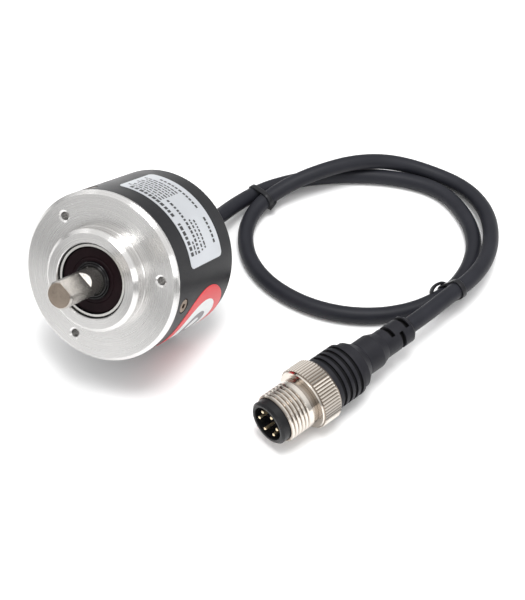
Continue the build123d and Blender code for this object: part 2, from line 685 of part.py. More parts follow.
# ---- connector ----
with BuildPart() as coupling_nut:
    thread = [(NUT_BORE_R, THREAD_START), (THREAD_R - THREAD_DEPTH, THREAD_START)]
    for k in range(THREAD_COUNT):
        crest = THREAD_START + THREAD_PITCH * (k + 0.5)
        thread += [(THREAD_R, crest - 0.15), (THREAD_R, crest + 0.15),
                   (THREAD_R - THREAD_DEPTH, THREAD_START + THREAD_PITCH * (k + 1))]
    on_plug(
        *thread, (THREAD_R, THREAD_START + THREAD_PITCH * THREAD_COUNT + 0.5),
        (THREAD_R, NUT_RELIEF_START), (NUT_RELIEF_R, NUT_RELIEF_START + 0.3), (NUT_RELIEF_R, KNURL_START),
        (KNURL_R - KNURL_CHAMFER, KNURL_START), (KNURL_R - KNURL_DEPTH, KNURL_START + KNURL_CHAMFER),
        (KNURL_R - KNURL_DEPTH, KNURL_END - KNURL_CHAMFER), (KNURL_R - KNURL_CHAMFER, KNURL_END),
        (NUT_RECESS_R, KNURL_END), (NUT_RECESS_R, NUT_RECESS_START), (NUT_BORE_R, NUT_RECESS_START),
    )
    with BuildSketch(PLUG.offset(KNURL_START + KNURL_CHAMFER)):
        with BuildLine():
            teeth = []
            for k in range(2 * KNURL_COUNT):
                tooth_r = KNURL_R if k % 2 == 0 else KNURL_R - KNURL_DEPTH
                tooth_angle = math.pi * k / KNURL_COUNT
                teeth.append((tooth_r * math.cos(tooth_angle), tooth_r * math.sin(tooth_angle)))
            Polyline(*teeth, close=True)
        make_face()
        Circle(NUT_RECESS_R + 0.5, mode=Mode.SUBTRACT)
    extrude(amount=KNURL_END - KNURL_START - 2 * KNURL_CHAMFER)
write(coupling_nut, "coupling_nut")

with BuildPart() as connector_insert:
    on_plug(
        (0, INSERT_RECESS_END), (INSERT_RECESS_R, INSERT_RECESS_END), (INSERT_RECESS_R, INSERT_START + 0.2),
        (INSERT_RECESS_R + 0.2, INSERT_START), (INSERT_R - INSERT_EDGE, INSERT_START),
        (INSERT_R, INSERT_START + INSERT_EDGE), (INSERT_R, COLLAR_START), (INSERT_COLLAR_R, COLLAR_START),
        (INSERT_COLLAR_R, COLLAR_END), (INSERT_R, COLLAR_END), (INSERT_R, BOOT_START + 4), (0, BOOT_START + 4),
    )
    with BuildSketch(PLUG.offset(INSERT_START + 0.4)):
        with PolarLocations(INSERT_RECESS_R - KEY_DEPTH / 2 + 0.1, 1, start_angle=KEY_ANGLE):
            Rectangle(KEY_DEPTH + 0.2, KEY_WIDTH)
    extrude(amount=INSERT_RECESS_END - INSERT_START - 0.4)
    with BuildSketch(PLUG.offset(INSERT_RECESS_END)):
        with PolarLocations(PIN_PITCH_R, PIN_COUNT, start_angle=PIN_ANGLE):
            Circle(PIN_R + 0.02)
    extrude(amount=PIN_END - INSERT_RECESS_END, mode=Mode.SUBTRACT)
write(connector_insert, "connector_insert")

with BuildPart() as contact_pins:
    with BuildSketch(PLUG.offset(PIN_START)):
        with PolarLocations(PIN_PITCH_R, PIN_COUNT, start_angle=PIN_ANGLE):
            Circle(PIN_R)
    extrude(amount=PIN_END - PIN_START)
    tips = [f for f in contact_pins.faces().filter_by(GeomType.PLANE)
            if abs((f.center() - PLUG_ORIGIN).dot(PLUG_DIR) - PIN_START) < 0.01]
    chamfer([e for f in tips for e in f.edges()], length=0.15)
write(contact_pins, "contact_pins")

with BuildPart() as connector_seal:
    on_plug(*tube(INSERT_R + 2 * PLUG_SEAL_R - 0.1, INSERT_R + 0.02, COLLAR_START - 2 * PLUG_SEAL_R, COLLAR_START))
write(connector_seal, "connector_seal")

with BuildPart() as connector_boot:
    outline = [(0, BOOT_START + 4.05), (INSERT_R + 0.03, BOOT_START + 4.05), (INSERT_R + 0.03, BOOT_START)]
    outline += [(radius, distance) for distance, radius in BOOT_PROFILE]
    cable_bore = CABLE_R + BORE_PLAY
    outline += [(cable_bore, BOOT_END), (cable_bore, BOOT_END - BOOT_BORE_DEPTH), (0, BOOT_END - BOOT_BORE_DEPTH)]
    on_plug(*outline)
    for position in RIB_POSITIONS:
        with BuildSketch(PLUG.offset(position)):
            Circle(9.5)
            Circle(8.4 - RIB_DEPTH, mode=Mode.SUBTRACT)
        extrude(amount=RIB_WIDTH, mode=Mode.SUBTRACT)
    for k, position in enumerate(SLOT_POSITIONS):
        with BuildSketch(PLUG.offset(position)):
            with PolarLocations(5.0, 1, start_angle=SLOT_ANGLE + 180 * (k % 2)):
                Rectangle(10, 12)
            Circle(4.4 - SLOT_DEPTH, mode=Mode.SUBTRACT)
        extrude(amount=SLOT_WIDTH, mode=Mode.SUBTRACT)
write(connector_boot, "connector_boot")

print("rear face centre", tuple(round(c, 3) for c in REAR), "tip", tuple(round(c, 3) for c in REAR + FORWARD * TIP_Z))
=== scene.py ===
import json
import math
import random

import bpy
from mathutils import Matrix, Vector


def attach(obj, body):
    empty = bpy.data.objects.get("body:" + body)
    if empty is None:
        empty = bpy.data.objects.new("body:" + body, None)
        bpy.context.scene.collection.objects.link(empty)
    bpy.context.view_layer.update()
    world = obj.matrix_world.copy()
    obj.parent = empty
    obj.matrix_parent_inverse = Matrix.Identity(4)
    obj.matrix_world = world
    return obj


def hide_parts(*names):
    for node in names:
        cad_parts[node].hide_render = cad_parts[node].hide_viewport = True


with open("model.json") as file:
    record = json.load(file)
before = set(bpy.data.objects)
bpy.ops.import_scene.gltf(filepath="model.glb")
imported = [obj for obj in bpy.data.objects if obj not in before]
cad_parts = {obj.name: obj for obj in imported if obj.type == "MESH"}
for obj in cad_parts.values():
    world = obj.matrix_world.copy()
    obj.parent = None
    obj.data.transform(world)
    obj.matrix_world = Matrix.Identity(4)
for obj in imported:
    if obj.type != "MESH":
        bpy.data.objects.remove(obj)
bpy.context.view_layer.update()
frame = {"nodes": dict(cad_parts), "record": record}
MM = 0.001

# ---------------------------------------------------------------- frames of the two round parts
LEAN = math.radians(26.0)
REAR = Vector((0.0, 20.735, 22.268)) * MM
FORWARD = Vector((0.0, -math.cos(LEAN), math.sin(LEAN)))
UPPER = Vector((0.0, math.sin(LEAN), math.cos(LEAN)))
ACROSS = Vector((1.0, 0.0, 0.0))

PLUG_TURN = math.radians(69.3)
PLUG_DIR = Vector((math.cos(PLUG_TURN), math.sin(PLUG_TURN), 0.0))
PLUG_ORIGIN = Vector((56.9, -15.3, 9.75)) * MM
UP = Vector((0.0, 0.0, 1.0))

BODY_R = 25.0 * MM
CABLE_D = 5.2 * MM
# the front bearing ring's steps each side of its land carry painted shade
LAND_INNER_R = 9.85 * MM     # bright land of the front bearing's outer ring
LAND_OUTER_R = 10.6 * MM
KNURL_FROM = 12.5 * MM       # the knurl's start along the plug, and the radii of knurl and thread
KNURL_ROOT_R = 9.28 * MM
KNURL_TIP_R = 9.62 * MM
THREAD_ROOT_R = 7.10 * MM
THREAD_TIP_R = 7.55 * MM
SLOTS_FROM = 46.5 * MM       # where the boot's slots start along the plug, and their floors and mouths
SLOT_FLOOR_R = 3.4 * MM
SLOT_MOUTH_R = 4.3 * MM
RIBS_TO = 29.3 * MM          # where its ribs end, and their roots and tips
RIB_ROOT_R = 7.85 * MM
RIB_TIP_R = 8.3 * MM
END_TONE_FROM = 56.30 * MM      # the shaft's end is darker and browner ahead of these heights
END_TONE_TO = 56.38 * MM


def on_encoder(radius, angle, height):
    """Point at a radius, an angle from +X in degrees and a height ahead of the rear face."""
    a = math.radians(angle)
    return REAR + FORWARD * height + (ACROSS * math.cos(a) + UPPER * math.sin(a)) * radius


def in_scene(name, data):
    """A new object with this data, linked to the scene."""
    made = bpy.data.objects.new(name, data)
    bpy.context.scene.collection.objects.link(made)
    return made


# ---------------------------------------------------------------- camera
camera = in_scene("camera", bpy.data.cameras.new("camera"))
CAMERA_AZIMUTH = math.radians(27.5)
CAMERA_ELEVATION = math.radians(45.0)
CAMERA_AT = Vector((0.166958, -0.231410, 0.301161))
back = Vector((
    math.sin(CAMERA_AZIMUTH) * math.cos(CAMERA_ELEVATION),
    -math.cos(CAMERA_AZIMUTH) * math.cos(CAMERA_ELEVATION),
    math.sin(CAMERA_ELEVATION),
))
camera.location = CAMERA_AT
camera.rotation_mode = "QUATERNION"
camera.rotation_quaternion = (-back).to_track_quat("-Z", "Y")
camera.data.lens = 80.0
camera.data.sensor_width = 36.0
camera.data.clip_start = 0.01
camera.data.clip_end = 20.0
bpy.context.scene.camera = camera


# ---------------------------------------------------------------- node helpers
class Nodes:
    """Short ways to write the nodes of one material."""

    def __init__(self, name):
        self.material = bpy.data.materials.new(name)
        self.material.use_nodes = True
        self.tree = self.material.node_tree
        self.tree.nodes.clear()
        self.out = self.add("ShaderNodeOutputMaterial")
        self.shader = self.add("ShaderNodeBsdfPrincipled")
        self.link(self.shader.outputs[0], self.out.inputs["Surface"])
        self.place = self.add("ShaderNodeTexCoord").outputs["Object"]

    def add(self, kind, **settings):
        node = self.tree.nodes.new(kind)
        for key, value in settings.items():
            setattr(node, key, value)
        return node

    def link(self, a, b):
        self.tree.links.new(a, b)

    def feed(self, socket, value):
        if isinstance(value, bpy.types.NodeSocket):
            self.link(value, socket)
        else:
            socket.default_value = value

    def set(self, name, value):
        """Give one of the shader's inputs a constant or another node's output."""
        self.feed(self.shader.inputs[name], value)

    def math(self, operation, a, b=0.0):
        node = self.add("ShaderNodeMath", operation=operation)
        for socket, value in zip(node.inputs, (a, b)):
            self.feed(socket, value)
        return node.outputs[0]

    def vector(self, operation, a, b=None):
        node = self.add("ShaderNodeVectorMath", operation=operation)
        self.feed(node.inputs[0], a)
        if b is not None:
            self.feed(node.inputs[1], b)
        return node.outputs["Value" if operation == "DOT_PRODUCT" else "Vector"]

    def join(self, x, y, z):
        node = self.add("ShaderNodeCombineXYZ")
        for socket, value in zip(node.inputs, (x, y, z)):
            self.feed(socket, value)
        return node.outputs[0]

    def noise(self, scale, detail=3.0, roughness=0.55, place=None):
        node = self.add("ShaderNodeTexNoise")
        self.link(place or self.place, node.inputs["Vector"])
        node.inputs["Scale"].default_value = scale
        node.inputs["Detail"].default_value = detail
        node.inputs["Roughness"].default_value = roughness
        return node.outputs["Fac"]

    def spread(self, value, low, high, from_low=0.3, from_high=0.7):
        node = self.add("ShaderNodeMapRange")
        node.clamp = True
        self.link(value, node.inputs["Value"])
        for socket, number in zip(node.inputs[1:5], (from_low, from_high, low, high)):
            socket.default_value = number
        return node.outputs[0]

    def mix(self, factor, a, b):
        node = self.add("ShaderNodeMix", data_type="RGBA")
        self.feed(node.inputs[0], factor)
        self.feed(node.inputs[6], a)
        self.feed(node.inputs[7], b)
        return node.outputs[2]

    def shades(self, tone, colour, shade):
        """A colour that wanders between two shades with a noise."""
        return self.mix(self.spread(tone, 0.0, 1.0), rgb(*colour), rgb(*shade))

    def streaks(self, detail, roughness, *parts):
        """Drawn-out noise: each part is a value and how quickly the noise changes with it."""
        scaled = [self.math("MULTIPLY", value, rate) for value, rate in parts]
        scaled += [0.0] * (3 - len(scaled))
        return self.noise(1.0, detail, roughness, self.join(*scaled))

    def bump(self, height, distance):
        node = self.add("ShaderNodeBump")
        node.inputs["Distance"].default_value = distance
        self.link(height, node.inputs["Height"])
        return node.outputs[0]

    def about(self, origin, axis, side):
        """Radius, angle and height of a point about an axis."""
        from_origin = self.vector("SUBTRACT", self.place, tuple(origin))
        height = self.vector("DOT_PRODUCT", from_origin, tuple(axis))
        x = self.vector("DOT_PRODUCT", from_origin, tuple(side))
        y = self.vector("DOT_PRODUCT", from_origin, tuple(axis.cross(side)))
        squares = self.math("ADD", self.math("MULTIPLY", x, x), self.math("MULTIPLY", y, y))
        radius = self.math("SQRT", squares)
        return radius, self.math("ARCTAN2", y, x), height

    def around(self, origin, axis):
        """Direction that turning leaves on the surface, round the axis."""
        from_origin = self.vector("SUBTRACT", self.place, tuple(origin))
        return self.vector("NORMALIZE", self.vector("CROSS_PRODUCT", tuple(axis), from_origin))


def rgb(r, g, b):
    return (r, g, b, 1.0)


QUARTER_TURN = 0.25         # grooves spread a highlight across them, not along them
ENCODER_AXIS = (REAR, FORWARD, ACROSS)
PLUG_AXIS = (PLUG_ORIGIN, PLUG_DIR, UP)


def turned_metal(name, colour, shade, rough, aniso, groove=0.000004, groove_scale=9000.0):
    """Metal off a lathe: fine rings, a clouded tone and highlights drawn out round the axis."""
    n = Nodes(name)
    radius, _, height = n.about(*ENCODER_AXIS)
    rings = n.streaks(2.0, 0.6, (radius, groove_scale), (height, groove_scale))
    tone = n.noise(90.0, 4.0)
    worn = n.noise(270.0, 3.0, 0.5)
    n.set("Base Color", n.shades(tone, colour, shade))
    n.set("Metallic", 1.0)
    blend = n.math("ADD", n.math("MULTIPLY", rings, 0.95), n.math("MULTIPLY", worn, 0.05))
    n.set("Roughness", n.spread(blend, rough * 0.9, rough * 1.12))
    n.set("Anisotropic", aniso)
    n.set("Anisotropic Rotation", QUARTER_TURN)
    n.set("Tangent", n.around(REAR, FORWARD))
    n.set("Normal", n.bump(rings, groove))
    return n.material


def plain_metal(name, colour, shade, rough, scale=600.0, grain=0.000006):
    """Metal with no direction: plating, browning or a polished ball."""
    n = Nodes(name)
    tone = n.noise(scale * 0.3, 4.0)
    fine = n.noise(scale * 4, 4.0, 0.65)
    n.set("Base Color", n.shades(tone, colour, shade))
    n.set("Metallic", 1.0)
    n.set("Roughness", n.spread(fine, rough * 0.75, rough * 1.3))
    n.set("Normal", n.bump(fine, grain))
    return n.material


def moulded(name, colour, shade, rough, scale=500.0, grain=0.00001, coat=0.0, specular=0.5):
    """Plastic, rubber or paint: slight mottling, a fine grain and rubbed patches."""
    n = Nodes(name)
    tone = n.noise(scale * 0.25, 4.0)
    fine = n.noise(scale * 6, 5.0, 0.7)
    n.set("Base Color", n.shades(tone, colour, shade))
    rubbed = n.math("ADD", n.math("MULTIPLY", tone, 0.5), n.math("MULTIPLY", fine, 0.5))
    n.set("Roughness", n.spread(rubbed, rough * 0.85, rough * 1.15))
    n.set("Specular IOR Level", specular)
    n.set("Coat Weight", coat)
    n.set("Normal", n.bump(fine, grain))
    return n.material


materials = {
    "flange_aluminium": turned_metal(
        "flange_aluminium", (0.72, 0.71, 0.70), (0.695, 0.685, 0.675), 0.26, 0.90,
        groove=0.0000004, groove_scale=6000.0,
    ),
    "cover_black": moulded(
        "cover_black", (0.0045, 0.0045, 0.0060), (0.0070, 0.0070, 0.0090),
        0.40, 700.0, 0.000008, specular=0.22,
    ),
    "screw_bronze": plain_metal("screw_bronze", (0.26, 0.20, 0.15), (0.19, 0.14, 0.10), 0.36),
    "seal_rubber": moulded(
        "seal_rubber", (0.003, 0.003, 0.003), (0.005, 0.004, 0.005),
        0.10, 300.0, 0.000001, specular=0.30,
    ),
    "bearing_steel": turned_metal("bearing_steel", (0.72, 0.70, 0.67), (0.62, 0.60, 0.57), 0.20, 0.5),
    "ball_steel": plain_metal("ball_steel", (0.80, 0.80, 0.80), (0.74, 0.74, 0.74), 0.08),
    "cage_plastic": moulded("cage_plastic", (0.55, 0.50, 0.38), (0.48, 0.43, 0.32), 0.45),
    "hub_aluminium": turned_metal("hub_aluminium", (0.78, 0.78, 0.78), (0.70, 0.70, 0.70), 0.32, 0.5),
    "holder_plastic": moulded("holder_plastic", (0.03, 0.03, 0.034), (0.05, 0.05, 0.055), 0.45),
    "led_epoxy": moulded("led_epoxy", (0.70, 0.76, 0.82), (0.62, 0.68, 0.75), 0.12, coat=0.6),
    "chip_black": moulded("chip_black", (0.02, 0.02, 0.022), (0.03, 0.03, 0.032), 0.55),
    "board_green": moulded("board_green", (0.02, 0.14, 0.07), (0.03, 0.18, 0.09), 0.30, coat=0.3),
    "post_brass": plain_metal("post_brass", (0.70, 0.55, 0.27), (0.62, 0.47, 0.22), 0.25),
    "header_white": moulded("header_white", (0.80, 0.78, 0.72), (0.74, 0.72, 0.66), 0.40),
    "wire_insulation": moulded("wire_insulation", (0.45, 0.06, 0.05), (0.38, 0.05, 0.04), 0.32),
    "relief_rubber": moulded("relief_rubber", (0.016, 0.016, 0.018), (0.024, 0.024, 0.027), 0.55),
    "sticker_film": moulded(
        "sticker_film", (0.68, 0.022, 0.028), (0.62, 0.020, 0.025),
        0.34, 200.0, 0.000003, specular=0.25,
    ),
    "cable_jacket": moulded(
        "cable_jacket", (0.0095, 0.0100, 0.0140), (0.0145, 0.0150, 0.0200),
        0.50, 400.0, 0.000012, specular=0.22,
    ),
    "tie_black": moulded("tie_black", (0.006, 0.006, 0.008), (0.010, 0.010, 0.012), 0.36, specular=0.3),
    "insert_black": moulded("insert_black", (0.005, 0.005, 0.006), (0.009, 0.009, 0.010), 0.36, specular=0.25),
    "pin_gold": plain_metal("pin_gold", (0.90, 0.76, 0.54), (0.84, 0.69, 0.46), 0.36),
}


def shield_material():
    """Brownish moulded rubber with faint rings."""
    n = Nodes("shield_rubber")
    radius = n.about(*ENCODER_AXIS)[0]
    rings = n.streaks(2.0, 0.6, (radius, 2200.0))
    tone = n.noise(250.0, 4.0)
    n.set("Base Color", n.shades(tone, (0.0055, 0.0018, 0.0028), (0.0080, 0.0028, 0.0038)))
    n.set("Roughness", n.spread(rings, 0.38, 0.50))
    n.set("Specular IOR Level", 0.09)
    n.set("Normal", n.bump(rings, 0.00001))
    return n.material


def shaft_material():
    """Ground stainless steel with grinding marks round it and an end that is darker and browner."""
    n = Nodes("shaft_steel")
    radius, angle, height = n.about(*ENCODER_AXIS)
    marks = n.streaks(3.0, 0.7, (height, 5200.0), (radius, 1500.0), (angle, 1.2))
    stain = n.noise(420.0, 5.0, 0.65)
    end = n.spread(height, 0.0, 1.0, END_TONE_FROM, END_TONE_TO)
    steel = n.shades(stain, (0.42, 0.40, 0.375), (0.34, 0.322, 0.302))
    tip = n.shades(stain, (0.40, 0.335, 0.275), (0.30, 0.245, 0.20))
    n.set("Base Color", n.mix(end, steel, tip))
    n.set("Metallic", 0.9)
    n.set("Roughness", n.spread(marks, 0.14, 0.25))
    n.set("Anisotropic", 0.6)
    n.set("Anisotropic Rotation", QUARTER_TURN)
    n.set("Tangent", n.around(REAR, FORWARD))
    n.set("Normal", n.bump(marks, 0.000005))
    return n.material


def ring_material():
    """Bearing steel whose land is bright, with painted shade on the steps each side of it."""
    n = Nodes("ring_land_and_painted_shade")
    radius, angle, _ = n.about(*ENCODER_AXIS)
    rings = n.streaks(2.0, 0.6, (radius, 7000.0), (angle, 1.5))
    inside = n.spread(radius, 0.0, 1.0, LAND_INNER_R + 0.03 * MM, LAND_INNER_R + 0.07 * MM)
    outside = n.spread(radius, 1.0, 0.0, LAND_OUTER_R - 0.06 * MM, LAND_OUTER_R - 0.02 * MM)
    land = n.math("MULTIPLY", inside, outside)
    steel = n.shades(rings, (0.78, 0.77, 0.74), (0.66, 0.65, 0.62))
    # outside the land the ring is painted near black as shade
    n.set("Base Color", n.mix(land, rgb(0.006, 0.006, 0.007), steel))
    n.set("Metallic", land)
    n.set("Roughness", n.spread(rings, 0.22, 0.34))
    n.set("Normal", n.bump(rings, 0.000002))
    return n.material


def nut_material():
    """Nickel plating, bright on the crests, with painted brown shade in the grooves of knurl and thread."""
    n = Nodes("nut_nickel")
    radius, _, ahead = n.about(*PLUG_AXIS)
    tone = n.noise(60.0, 4.0)
    fine = n.noise(800.0, 4.0, 0.65)
    knurled = n.math("GREATER_THAN", ahead, KNURL_FROM)
    knurl_depth = n.spread(radius, 1.0, 0.0, KNURL_ROOT_R, KNURL_TIP_R)
    thread_depth = n.spread(radius, 1.0, 0.0, THREAD_ROOT_R, THREAD_TIP_R)
    groove_shade = n.math("ADD", n.math("MULTIPLY", knurled, knurl_depth),
                     n.math("MULTIPLY", n.math("SUBTRACT", 1.0, knurled), thread_depth))
    bright = n.shades(tone, (0.74, 0.69, 0.63), (0.69, 0.635, 0.575))
    # the grooves of knurl and thread are painted brown as shade
    n.set("Base Color", n.mix(groove_shade, bright, rgb(0.27, 0.225, 0.185)))
    n.set("Metallic", 1.0)
    n.set("Roughness", n.spread(fine, 0.15, 0.20))
    n.set("Normal", n.bump(fine, 0.0000008))
    return n.material


def boot_material():
    """Moulded rubber whose slots and rib grooves have painted shade at their floors."""
    n = Nodes("boot_black")
    radius, _, ahead = n.about(*PLUG_AXIS)
    tone = n.noise(125.0, 4.0)
    fine = n.noise(3000.0, 5.0, 0.7)
    slot_floor_shade = n.math("MULTIPLY", n.math("GREATER_THAN", ahead, SLOTS_FROM),
                        n.spread(radius, 1.0, 0.0, SLOT_FLOOR_R, SLOT_MOUTH_R))
    groove_floor_shade = n.math("MULTIPLY", n.math("LESS_THAN", ahead, RIBS_TO),
                          n.spread(radius, 0.8, 0.0, RIB_ROOT_R, RIB_TIP_R))
    # painted shade on the floors of the slots and rib grooves
    painted_shade = n.math("MAXIMUM", slot_floor_shade, groove_floor_shade)
    skin = n.shades(tone, (0.010, 0.010, 0.013), (0.015, 0.015, 0.019))
    n.set("Base Color", n.mix(painted_shade, skin, rgb(0.0012, 0.0012, 0.0014)))
    rubbed = n.math("ADD", n.math("MULTIPLY", tone, 0.5), n.math("MULTIPLY", fine, 0.5))
    n.set("Roughness", n.math("ADD", n.spread(rubbed, 0.41, 0.55), n.math("MULTIPLY", painted_shade, 0.4)))
    n.set("Specular IOR Level", 0.18)
    n.set("Normal", n.bump(fine, 0.00001))
    return n.material


def label_material():
    """Metallised film: fine brushing along the label and a soft sheen."""
    n = Nodes("label_silver")
    _, angle, height = n.about(*ENCODER_AXIS)
    brushed = n.streaks(3.0, 0.6, (height, 6000.0), (angle, 20.0))
    tone = n.noise(120.0, 3.0)
    n.set("Base Color", n.shades(tone, (0.60, 0.62, 0.65), (0.565, 0.585, 0.61)))
    n.set("Metallic", 0.55)
    n.set("Roughness", n.spread(brushed, 0.34, 0.46))
    n.set("Normal", n.bump(brushed, 0.000003))
    return n.material


def disc_material():
    """Clear glass with a faint tint."""
    n = Nodes("disc_glass")
    tone = n.noise(300.0, 3.0)
    n.set("Base Color", n.shades(tone, (0.74, 0.80, 0.82), (0.68, 0.75, 0.78)))
    n.set("Roughness", n.spread(tone, 0.04, 0.09))
    n.set("Transmission Weight", 0.7)
    return n.material


materials["shield_rubber"] = shield_material()
materials["shaft_steel"] = shaft_material()
materials["nut_nickel"] = nut_material()
materials["boot_black"] = boot_material()
materials["label_silver"] = label_material()
materials["disc_glass"] = disc_material()

for part in frame["record"]["subparts"]:
    node = frame["nodes"][part["node"]]
    node.data.materials.clear()
    node.data.materials.append(materials[part["material_slot"]])
# the front bearing's outer ring gets painted shade each side of its land
frame["nodes"]["front_bearing_outer_ring"].data.materials[0] = ring_material()


# ---------------------------------------------------------------- the cable
CABLE_ROUTE = [
    tuple((REAR + FORWARD * 3.2 * MM) / MM), tuple((REAR - FORWARD * 27.0 * MM) / MM),
    (1.9, 75.2, 3.9), (11.6, 90.4, 3.0), (25.6, 101.2, 2.65), (42.0, 108.4, 2.65), (58.5, 109.7, 2.65),
    (71.3, 101.2, 2.65), (79.4, 89.5, 2.65), (82.0, 76.6, 2.8), (81.0, 62.6, 3.9), (73.4, 50.8, 2.7),
    (61.5, 41.6, 2.65), (46.5, 37.4, 2.65), (31.0, 39.2, 2.65), (18.0, 46.2, 2.65), (9.3, 57.6, 2.65),
    (7.2, 70.0, 4.2), (11.6, 81.4, 6.1), (19.0, 90.6, 8.7), (29.0, 102.8, 8.9), (39.9, 112.0, 6.3),
    (53.7, 115.9, 3.3), (66.8, 113.5, 3.3), (76.9, 105.0, 4.3), (83.3, 93.3, 5.8), (86.6, 80.4, 7.1),
    (86.4, 67.8, 8.6), (82.6, 56.3, 9.0),
    tuple((PLUG_ORIGIN + PLUG_DIR * 63.3 * MM) / MM), tuple((PLUG_ORIGIN + PLUG_DIR * 52.15 * MM) / MM),
]


def open_curve(name, points, radius, material):
    """A round tube on a smooth spline whose control points, in millimetres, are given."""
    data = bpy.data.curves.new(name, "CURVE")
    data.dimensions = "3D"
    spline = data.splines.new("NURBS")
    spline.points.add(len(points) - 1)
    for point, at in zip(spline.points, points):
        point.co = (*(Vector(at) * MM), 1.0)
    spline.order_u = 3
    spline.use_endpoint_u = True
    data.resolution_u = 16
    data.bevel_depth = radius
    data.bevel_resolution = 8
    data.use_fill_caps = True
    data.materials.append(material)
    return in_scene(name, data)


cable = open_curve("cable_run", CABLE_ROUTE, CABLE_D / 2, materials["cable_jacket"])
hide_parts("cable")
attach(cable, "housing")


# ---------------------------------------------------------------- ties round the two strands
def centreline(piece):
    """Points along a curve piece's own line, in metres."""
    bare = piece.data.copy()
    bare.bevel_depth = 0.0
    carrier = in_scene("centreline", bare)
    bpy.context.view_layer.update()
    graph = bpy.context.evaluated_depsgraph_get()
    line = bpy.data.meshes.new_from_object(carrier.evaluated_get(graph))
    points = [v.co.copy() for v in line.vertices]
    bpy.data.objects.remove(carrier)
    bpy.data.meshes.remove(line)
    bpy.data.curves.remove(bare)
    return points


def mesh_piece(name, vertices, faces, material, smooth=math.radians(35)):
    """A mesh object with smooth shading up to an angle."""
    data = bpy.data.meshes.new(name)
    data.from_pydata([tuple(v) for v in vertices], [], faces)
    data.materials.append(material)
    data.polygons.foreach_set("use_smooth", [True] * len(data.polygons))
    data.update()
    data.set_sharp_from_angle(angle=smooth)
    return in_scene(name, data)


def band(path, across, width, wall, closed, taper=None):
    """Vertices and faces of a strap with rounded edges along a path, its width lying along across."""
    taper = taper or [1.0] * len(path)
    section = []
    corner = min(wall, width) * 0.32
    for cx, cy, start in (
        (width / 2 - corner, wall / 2 - corner, 0), (-width / 2 + corner, wall / 2 - corner, 90),
        (-width / 2 + corner, -wall / 2 + corner, 180), (width / 2 - corner, -wall / 2 + corner, 270),
    ):
        for step in range(4):
            a = math.radians(start + step * 30)
            section.append((cx + corner * math.cos(a), cy + corner * math.sin(a)))
    vertices, faces = [], []
    count, n = len(path), len(section)
    for i, point in enumerate(path):
        before = path[(i - 1) % count] if closed or i > 0 else point
        after = path[(i + 1) % count] if closed or i < count - 1 else point
        tangent = (after - before).normalized()
        side = (across - tangent * across.dot(tangent)).normalized()
        out = tangent.cross(side)
        vertices += [point + (side * x + out * y) * taper[i] for x, y in section]
    for i in range(count if closed else count - 1):
        j = (i + 1) % count
        faces += [(i * n + k, j * n + k, j * n + (k + 1) % n, i * n + (k + 1) % n) for k in range(n)]
    if not closed:
        faces += [tuple(range(n)), tuple(reversed(range((count - 1) * n, count * n)))]
    return vertices, faces


def hull_loop(a, b, normal, radius, steps=18):
    """Closed path of a strap pulled tight round two circles of one radius, in the plane across normal."""
    line = (b - a) - normal * (b - a).dot(normal)
    u = line.normalized()
    v = normal.cross(u)
    turns = [math.pi * k / steps for k in range(steps + 1)]
    half = [(v * math.cos(t) - u * math.sin(t)) * radius for t in turns]
    return [a + offset for offset in half] + [b - offset for offset in half]


def crossings(points, near, normal, reach=0.014):
    """Where the line passes through a plane within reach of a point."""
    found = []
    for p, q in zip(points, points[1:]):
        dp, dq = (p - near).dot(normal), (q - near).dot(normal)
        if dp * dq <= 0 and dp != dq:
            hit = p + (q - p) * (dp / (dp - dq))
            if (hit - near).length < reach:
                found.append((hit, (q - p).normalized()))
    return found


cable_line = centreline(cable)
TIE_WIDTH = 1.7 * MM
TIE_WALL = 0.55 * MM
TIE_GAP = 0.05 * MM          # between a strand and the strap round it
END_WIDTH = 2.5 * MM         # the loose end that lies along the outer strand
END_LENGTH = 3.4 * MM
ARCH_WIDTH = 1.5 * MM        # the slack length, half of its span and how far it stands off
ARCH_REACH = 3.0 * MM
ARCH_RISE = 1.6 * MM
EXTRA_WALL = 1.0 * MM        # both are thicker than the strap


def tie(name, node, near, normal, extra):
    """A thin strap round both strands, with a further length of strap."""
    normal = Vector(normal).normalized()
    both = crossings(cable_line, Vector(near) * MM, normal)[:2]
    low, high = sorted(both, key=lambda crossing: crossing[0].z)
    radius = CABLE_D / 2 + TIE_GAP + TIE_WALL / 2
    loop = hull_loop(high[0], low[0], normal, radius)
    vertices, faces = band(loop, normal, TIE_WIDTH, TIE_WALL, True)
    more, more_faces = extra(high, low, normal, radius)
    faces += [tuple(len(vertices) + i for i in face) for face in more_faces]
    vertices += more
    piece = mesh_piece(name, vertices, faces, materials["tie_black"])
    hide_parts(node)
    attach(piece, "housing")
    return piece


def flare(high, low, normal, radius):
    """The strap's end, pressed down along the outer strand and thinning away."""
    high, along = high
    along = along * math.copysign(1.0, along.dot(normal))
    away = high - low[0]
    away = (away - along * away.dot(along)).normalized()
    away = (away * 0.80 - UP * 0.60).normalized()
    path, taper = [], []
    for k in range(9):
        t = k / 8
        path.append(high + away * (radius + (0.35 - 0.75 * t * t) * MM) + along * (END_LENGTH * t - 0.5 * MM))
        taper.append(1.0 - 0.55 * t * t)
    return band(path, along.cross(away), END_WIDTH, EXTRA_WALL, False, taper)


def arch(high, low, normal, radius):
    """A slack length of strap that stands off the outer side of the lower strand."""
    low, along = low
    along = along * math.copysign(1.0, along.dot(normal))
    away = low - high[0]
    away.z = 0.0
    away = (away - along * away.dot(along)).normalized()
    away = (away * 0.75 + UP * 0.66).normalized()
    middle = low + away * (radius - 0.45 * MM) + along * 1.7 * MM
    path = []
    for k in range(17):
        a = math.pi * k / 16
        path.append(middle - along * math.cos(a) * ARCH_REACH + away * math.sin(a) * ARCH_RISE)
    return band(path, along.cross(away), ARCH_WIDTH, EXTRA_WALL, False)


